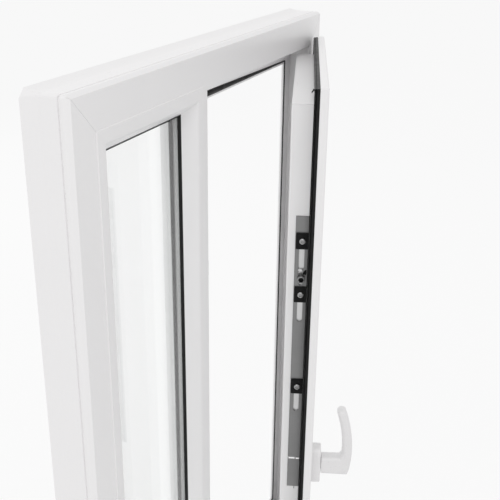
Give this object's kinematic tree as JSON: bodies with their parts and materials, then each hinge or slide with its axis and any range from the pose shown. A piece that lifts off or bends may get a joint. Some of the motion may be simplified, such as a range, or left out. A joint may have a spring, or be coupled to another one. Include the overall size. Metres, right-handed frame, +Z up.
{
  "type": "pvc window",
  "caption": "White plastic window with a fixed light beside a side-hung sash standing open inwards, with double glazing, a lever handle and a lock strip in the sash's edge.",
  "frame": {"origin": "middle of the flat seat on the sill's underside, half way along the window", "axes": "+X along the window towards the hinges of the sash, -Y into the room, +Y outdoors, +Z up"},
  "size_m": [0.847, 0.2818, 1.162],
  "materials": {
    "white_plastic": "smooth white window profile, satin",
    "black_gasket": "soft black rubber",
    "pane_glass": "clear float glass",
    "spacer_metal": "matt spacer bar",
    "bright_steel": "plated steel",
    "black_plastic": "moulded black plastic",
    "strip_steel": "grey coated steel strip",
    "zinc_steel": "zinc plated steel",
    "handle_white": "white powder coat",
    "hinge_white": "white powder coat"
  },
  "bodies": {
    "root": {"fixed_bead_bottom": "white_plastic", "fixed_bead_left": "white_plastic", "fixed_bead_right": "white_plastic", "fixed_bead_top": "white_plastic", "fixed_inner_pane": "pane_glass", "fixed_outdoor_gasket": "black_gasket", "fixed_outer_pane": "pane_glass", "fixed_room_gasket": "black_gasket", "fixed_spacer": "spacer_metal", "frame_head": "white_plastic", "frame_left_jamb": "white_plastic", "frame_right_jamb": "white_plastic", "frame_sill": "white_plastic", "handle_lever": "handle_white", "handle_rosette": "handle_white", "lock_pad_screws": "bright_steel", "lock_pads": "black_plastic", "lock_rod": "zinc_steel", "lock_roller": "bright_steel", "lock_strip_lower": "strip_steel", "lock_strip_upper": "strip_steel", "lower_hinge_frame_leaf": "hinge_white", "lower_hinge_pin": "bright_steel", "lower_hinge_sash_leaf": "hinge_white", "mullion": "white_plastic", "mullion_keep": "zinc_steel", "opening_gasket": "black_gasket", "sash_bead_bottom": "white_plastic", "sash_bead_left": "white_plastic", "sash_bead_right": "white_plastic", "sash_bead_top": "white_plastic", "sash_bottom_rail": "white_plastic", "sash_hinge_stile": "white_plastic", "sash_inner_pane": "pane_glass", "sash_lock_stile": "white_plastic", "sash_outdoor_gasket": "black_gasket", "sash_outer_pane": "pane_glass", "sash_overlap_gasket": "black_gasket", "sash_room_gasket": "black_gasket", "sash_spacer": "spacer_metal", "sash_top_rail": "white_plastic", "upper_hinge_frame_leaf": "hinge_white", "upper_hinge_pin": "bright_steel", "upper_hinge_sash_leaf": "hinge_white"}
  },
  "joints": []
}
